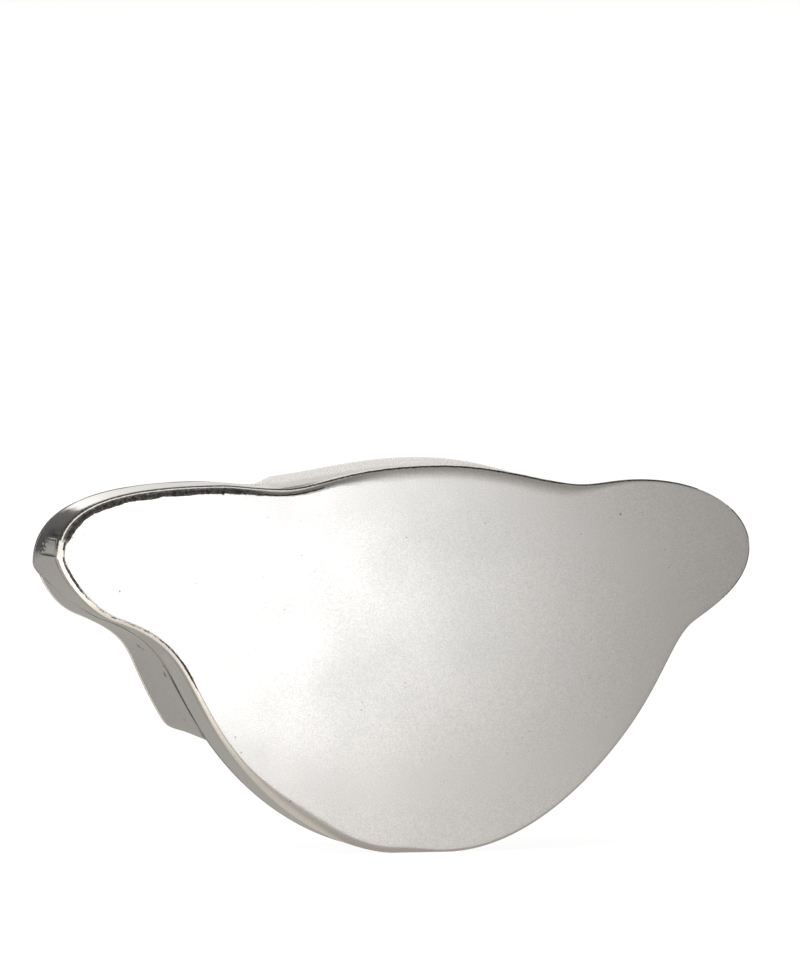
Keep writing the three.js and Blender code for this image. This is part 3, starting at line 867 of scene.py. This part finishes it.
# Back shell
back_places = root_line.stations(BACK_FROM, BACK_TO)
root_x = x_of(root_line, back_places)
root_dark = np.interp(root_x, SEAM_X, [0.05, 0.4, 0.6, 0.4, 0.5, 1.0, 1.0, 0.5, 0.2])
band("back_band_strip", "back_band", root_line, back_line, back_places, 0, BACK_FACE - BACK_PAN, root_dark,
     PLAIN_DARK)


def back_bulge(x, z):
    """How far the rear sheet lies in front of its middle."""
    return 0.3 * ((x - 5) / 90) ** 2 + 0.2 * ((z - 68) / 40) ** 2 + 0.03 * np.sin(x / 19 - z / 23) + 0.04


back_all = back_line.stations(0, len(back_line.curves))[:-1]
lip_x = x_of(back_line, back_all)
over_mouth = (back_all > back_line.place("spout_hood")) & (back_all < back_line.place("handle_tip"))
open_mouth = over_mouth * eased(lip_x, -48, -36) * (1 - eased(lip_x, 40, 62))
BACK_EDGE_RADIUS = 2.0
back_edge = np.full(len(back_all), BACK_EDGE_RADIUS)
turned = rolled(back_edge, back_edge, BACK_PAN, SHEET)
# Over the mouth the rear sheet ends in a thickened lip, bevelled on the inside: how far in and how deep its
# rings lie, from the rear face round the edge to the inner face
LIP_IN = [0.9, 0.5, 0.2, 0.05, 0, 0.03, 1.25, 2.5, 3.8, 4.1, 4.5, 5.0]
LIP_DEEP = [0, 0.02, 0.1, 0.2, 0.3, 0.4, 1.4, 2.4, 3.4, 3.4, 2.5, 1.2]
lip_at = np.linspace(0, 1, len(LIP_IN))
back_profile = []
for share, (inset, deep) in zip(np.linspace(0, 1, len(turned)), turned):
    lip_in, lip_deep = np.interp(share, lip_at, LIP_IN), np.interp(share, lip_at, LIP_DEEP)
    back_profile.append((inset + (lip_in - inset) * open_mouth, deep + (lip_deep - deep) * open_mouth))
points, faces, share = panel(back_line, back_all, back_profile, BACK_FACE, -1, back_bulge, SHEET)
on_edge = (share > 0.05) & (share < 0.6)
make("back_panel_sheet", points, faces, satin_silver, "back_panel",
     {"polish": np.where(on_edge, 0.5, 0.0), "grime_and_shade": np.zeros(len(points))})


# Floor and studio. The camera sees white paper and a white ground. The silver mirrors a plain studio, told
# by direction: white behind on the right, a white screen on the left, a white ceiling, grey in front and dark
# gaps between them. The way round is 0 behind and positive to the right, and the height is 0 at the horizon.
# A pair is a smooth step's range, and two more numbers are its levels. On the floor ranges are in metres from
# the object, or along y for FAR_FRONT.
DEG = math.radians(1)
WHITE = (1, 1, 1)
FLOOR_TINT, STUDIO_TINT = (1, 0.95, 0.88), (1, 0.97, 0.93)
FLOOR_HALF = 6.0
PAPER_GREY, PAPER_GLOW, PAPER_GLOW_SHARE = 0.85, 1.15, 0.8
FLOOR_GREY = 0.8
NEAR_FLOOR_LEVEL, FAR_FLOOR_DROP = 0.39, 0.24
LEFT_SCREEN_LEVEL = 1.12
BACKDROP_EDGE_LEVEL, BACKDROP_LEVEL = 1.2, 0.76
FRONT_LEVEL, LOW_FRONT_SHARE = 0.225, 1.4
RAISED_GAP_LEVEL, HORIZON_LEVEL = 0.7, 0.32
CEILING_LEVEL, GROUND_LEVEL = 0.93, 0.3
BACKDROP_LEFT = (5.5 * DEG, 7 * DEG)
BACKDROP_RIGHT = (100 * DEG, 140 * DEG)
BACKDROP_FADE = (8 * DEG, 15 * DEG)
SCREEN_OUTER = (-146 * DEG, -134 * DEG)
SCREEN_INNER = -42 * DEG
SCREEN_INNER_CLOSE_UP = -66 * DEG
SCREEN_SOFTNESS = 4 * DEG
GAP_LEFT = (-46 * DEG, -38 * DEG)
GAP_STEP = (-15 * DEG, 3 * DEG, 0.09, 0.13)
RAISED_GAP = (24 * DEG, 30 * DEG)
HORIZON_GLOW = (0.5 * DEG, 3.5 * DEG)
FRONT_RISE = (8 * DEG, 22 * DEG)
CEILING = (50 * DEG, 60 * DEG)
UNTINTED = (45 * DEG, 55 * DEG)
HORIZON = (-3 * DEG, 0)
FAR_FRONT = (-0.18, -0.13)
SCREEN_REACH = (0.3, 0.6)
LEFT_FLOOR_STEP = (0.075, 0.09, 0.62, 0.85)
LEFT_FLOOR_RISE = (0.1, 0.17, 0, 0.7)


def grey(level):
    return level, level, level, 1


def emission(g, colour, strength):
    node = g.tree.nodes.new("ShaderNodeEmission")
    node.inputs["Color"].default_value = (*colour, 1)
    if isinstance(strength, float):
        node.inputs["Strength"].default_value = strength
    else:
        g.link(strength, node.inputs["Strength"])
    return node


def diffuse(g, level):
    node = g.tree.nodes.new("ShaderNodeBsdfDiffuse")
    node.inputs["Color"].default_value = grey(level)
    return node


def shader_between(g, share, a, b):
    """Shader a where the share is 0, and b where it is 1."""
    node = g.tree.nodes.new("ShaderNodeMixShader")
    if isinstance(share, float):
        node.inputs["Fac"].default_value = share
    else:
        g.link(share, node.inputs["Fac"])
    g.link(a.outputs[0], node.inputs[1])
    g.link(b.outputs[0], node.inputs[2])
    return node


def level_between(g, share, a, b):
    """Level a where the share is 0, and b where it is 1."""
    return g.plus(g.times(a, g.minus(1, share)), g.times(share, b))


def left_screen(g, turn, inner_edge):
    """Where the white screen on the left stands, from the way round."""
    inner = g.span(g.minus(turn, inner_edge), -SCREEN_SOFTNESS, SCREEN_SOFTNESS, 1, 0)
    return g.times(g.span(turn, *SCREEN_OUTER), inner)


def make_floor():
    mesh = bpy.data.meshes.new("floor")
    corners = [(-1, -1), (1, -1), (1, 1), (-1, 1)]
    mesh.from_pydata([(FLOOR_HALF * x, FLOOR_HALF * y, 0) for x, y in corners], [], [(0, 1, 2, 3)])
    material = bpy.data.materials.new("floor_paper")
    material.use_nodes = True
    tree = material.node_tree
    tree.nodes.clear()
    g = Graph(tree)
    rays = tree.nodes.new("ShaderNodeLightPath").outputs
    place = tree.nodes.new("ShaderNodeSeparateXYZ")
    g.link(g.coords, place.inputs["Vector"])
    x, y = place.outputs["X"], place.outputs["Y"]
    # Seen by the camera: white paper with the object's shadow on it
    paper = shader_between(g, PAPER_GLOW_SHARE, diffuse(g, PAPER_GREY), emission(g, WHITE, PAPER_GLOW))
    # Seen in the silver: grey near the object, darker further out in front, white on the left
    far_front = g.span(y, *FAR_FRONT, 1, 0)
    level = g.minus(NEAR_FLOOR_LEVEL, g.times(far_front, FAR_FLOOR_DROP))
    reach = g.math("SQRT", g.plus(g.times(x, x), g.times(y, y)), 0)
    inner_edge = g.span(reach, *SCREEN_REACH, SCREEN_INNER_CLOSE_UP, SCREEN_INNER)
    left = left_screen(g, g.math("ARCTAN2", x, y), inner_edge)
    left_level = g.plus(g.span(reach, *LEFT_FLOOR_STEP), g.span(reach, *LEFT_FLOOR_RISE))
    mirrored = emission(g, FLOOR_TINT, level_between(g, left, level, left_level))
    in_silver = g.larger(rays["Is Glossy Ray"], rays["Is Transmission Ray"])
    other = shader_between(g, in_silver, diffuse(g, FLOOR_GREY), mirrored)
    surface = shader_between(g, rays["Is Camera Ray"], other, paper)
    g.link(surface.outputs[0], tree.nodes.new("ShaderNodeOutputMaterial").inputs["Surface"])
    mesh.materials.append(material)
    place_in_scene("floor", mesh)


def make_world():
    world = bpy.data.worlds.new("studio")
    bpy.context.scene.world = world
    world.use_nodes = True
    tree = world.node_tree
    tree.nodes.clear()
    g = Graph(tree, "Generated")
    way = tree.nodes.new("ShaderNodeSeparateXYZ")
    g.link(g.coords, way.inputs["Vector"])
    x, y, z = (way.outputs[axis] for axis in "XYZ")
    turn = g.math("ARCTAN2", x, y)
    height = g.math("ARCSINE", z, 0)
    backdrop = g.times(g.span(turn, *BACKDROP_LEFT), g.span(turn, *BACKDROP_RIGHT, 1, 0))
    backdrop_level = g.span(turn, *BACKDROP_FADE, BACKDROP_EDGE_LEVEL, BACKDROP_LEVEL)
    backdrop = g.times(backdrop, backdrop_level)
    screen = g.times(left_screen(g, turn, SCREEN_INNER), LEFT_SCREEN_LEVEL)
    # The gap between screen and backdrop is dark, with a glow on the horizon and more light further up
    gap = g.times(g.span(turn, *GAP_LEFT), g.span(turn, *BACKDROP_LEFT, 1, 0))
    gap_level = g.span(turn, *GAP_STEP)
    raised = g.times(g.span(height, *RAISED_GAP), RAISED_GAP_LEVEL)
    gap_level = g.larger(gap_level, raised)
    gap_level = g.larger(gap_level, g.span(height, *HORIZON_GLOW, HORIZON_LEVEL, 0))
    front = g.larger(g.span(turn, *BACKDROP_RIGHT), g.span(turn, *SCREEN_OUTER, 1, 0))
    front_level = g.span(height, *FRONT_RISE, FRONT_LEVEL * LOW_FRONT_SHARE, FRONT_LEVEL)
    ceiling = g.span(height, *CEILING, 0, CEILING_LEVEL)
    level = g.larger(backdrop, screen)
    for part in (g.times(gap, gap_level), g.times(front, front_level), ceiling):
        level = g.larger(level, part)
    level = level_between(g, g.span(height, *HORIZON, 1, 0), level, GROUND_LEVEL)
    studio = tree.nodes.new("ShaderNodeBackground")
    g.link(g.blend(g.span(height, *UNTINTED), STUDIO_TINT, WHITE), studio.inputs["Color"])
    g.link(level, studio.inputs["Strength"])
    ground = tree.nodes.new("ShaderNodeBackground")
    ground.inputs["Color"].default_value = (*WHITE, 1)
    rays = tree.nodes.new("ShaderNodeLightPath").outputs
    surface = shader_between(g, rays["Is Camera Ray"], studio, ground)
    g.link(surface.outputs[0], tree.nodes.new("ShaderNodeOutputWorld").inputs["Surface"])


make_floor()
make_world()

# Soft lamp in front, a little right: its glow lies on the left lobe of the front sheet
LAMP_SIZE, LAMP_ENERGY, LAMP_COLOUR = 0.16, 0.345, (0.93, 0.955, 1.0)
LAMP_PLACE, LAMP_AIM = Vector((0.039, -0.506, 0.049)), Vector((-0.0986, -0.026, 0.0817))
lamp_data = bpy.data.lights.new("soft_lamp", "AREA")
lamp_data.shape = "DISK"
lamp_data.size = LAMP_SIZE
lamp_data.energy = LAMP_ENERGY
lamp_data.color = LAMP_COLOUR
lamp = place_in_scene("soft_lamp", lamp_data)
lamp.location = LAMP_PLACE
lamp.rotation_mode = "QUATERNION"
lamp.rotation_quaternion = (LAMP_AIM - LAMP_PLACE).to_track_quat("-Z", "Y")
lamp.visible_camera = False

# Camera: the photograph's long view from the left and a little above. The target, a point in the middle of
# the front face, shows at a pixel below the frame's middle, so the object sits low, as in the photograph.
VIEW_TURN, VIEW_RISE = math.radians(-16), math.radians(3.75)
VIEW_DISTANCE = 3.3396
FOCAL_PIXELS, FRAME_WIDTH, FRAME_HEIGHT = 12000, 800, 975
SENSOR = 36
CLIP_END = 50
TARGET = Vector((-1.113, FRONT_FACE, 55.28)) * MM
TARGET_COLUMN, TARGET_ROW = 402, 655
back = Vector((math.sin(VIEW_TURN) * math.cos(VIEW_RISE), -math.cos(VIEW_TURN) * math.cos(VIEW_RISE),
               math.sin(VIEW_RISE)))
right = Vector((math.cos(VIEW_TURN), math.sin(VIEW_TURN), 0))
up = back.cross(right)
per_pixel = VIEW_DISTANCE / FOCAL_PIXELS
eye = TARGET + back * VIEW_DISTANCE
aim_up = (TARGET_ROW - FRAME_HEIGHT / 2) * per_pixel
aim_left = (TARGET_COLUMN - FRAME_WIDTH / 2) * per_pixel
aim = TARGET + up * aim_up - right * aim_left
camera_data = bpy.data.cameras.new("camera")
camera_data.sensor_width = SENSOR
camera_data.lens = FOCAL_PIXELS * SENSOR / FRAME_HEIGHT
camera_data.clip_end = CLIP_END
camera = place_in_scene("camera", camera_data)
camera.location = eye
camera.rotation_mode = "QUATERNION"
camera.rotation_quaternion = (aim - eye).to_track_quat("-Z", "Y")
bpy.context.scene.camera = camera
bpy.context.scene.view_settings.view_transform = "Standard"
